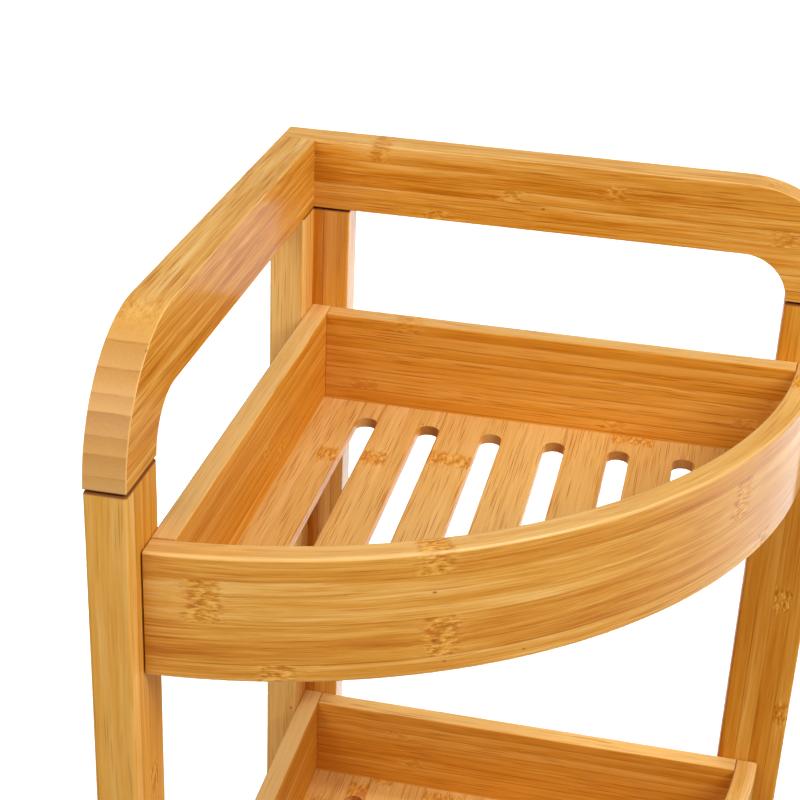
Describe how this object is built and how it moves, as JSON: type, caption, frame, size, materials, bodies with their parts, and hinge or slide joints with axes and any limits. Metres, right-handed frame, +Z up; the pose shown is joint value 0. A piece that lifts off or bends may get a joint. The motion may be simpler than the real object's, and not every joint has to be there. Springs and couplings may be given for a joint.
{
  "type": "corner shower caddy",
  "caption": "Free-standing bamboo corner caddy: two side frames with bent top rails carry quarter-round trays with slotted floors.",
  "frame": {"origin": "on the ground, under the middle of the square that the two side frames span", "axes": "+Z up; the rear corner is at -X, +Y; the right frame stands along the wall at +Y and the left frame along the wall at -X; the curved tray fronts face -Y and +X"},
  "size_m": [0.328, 0.328, 0.76],
  "materials": {
    "bamboo_frame": "satin varnish",
    "bamboo_tray": "satin varnish",
    "bamboo_front": "satin varnish",
    "bamboo_floor": "satin varnish",
    "dowel_wood": "bare",
    "screw_steel": "zinc plated",
    "pad_rubber": "matte"
  },
  "bodies": {
    "root": {"left_rail": "bamboo_frame", "right_rail": "bamboo_frame", "front_left_post": "bamboo_frame", "front_right_post": "bamboo_frame", "rear_left_leg": "bamboo_frame", "rear_right_leg": "bamboo_frame", "arm_dowels": "dowel_wood", "leg_dowels": "dowel_wood", "rail_dowels": "dowel_wood", "corner_screws": "screw_steel", "left_tray_screws": "screw_steel", "right_tray_screws": "screw_steel", "foot_pads": "pad_rubber", "top_tray_left_wall": "bamboo_tray", "top_tray_back_wall": "bamboo_tray", "top_tray_front": "bamboo_front", "top_tray_floor": "bamboo_floor", "top_tray_dowels": "dowel_wood", "middle_tray_left_wall": "bamboo_tray", "middle_tray_back_wall": "bamboo_tray", "middle_tray_front": "bamboo_front", "middle_tray_floor": "bamboo_floor", "middle_tray_dowels": "dowel_wood", "bottom_tray_left_wall": "bamboo_tray", "bottom_tray_back_wall": "bamboo_tray", "bottom_tray_front": "bamboo_front", "bottom_tray_floor": "bamboo_floor", "bottom_tray_dowels": "dowel_wood"}
  },
  "joints": []
}
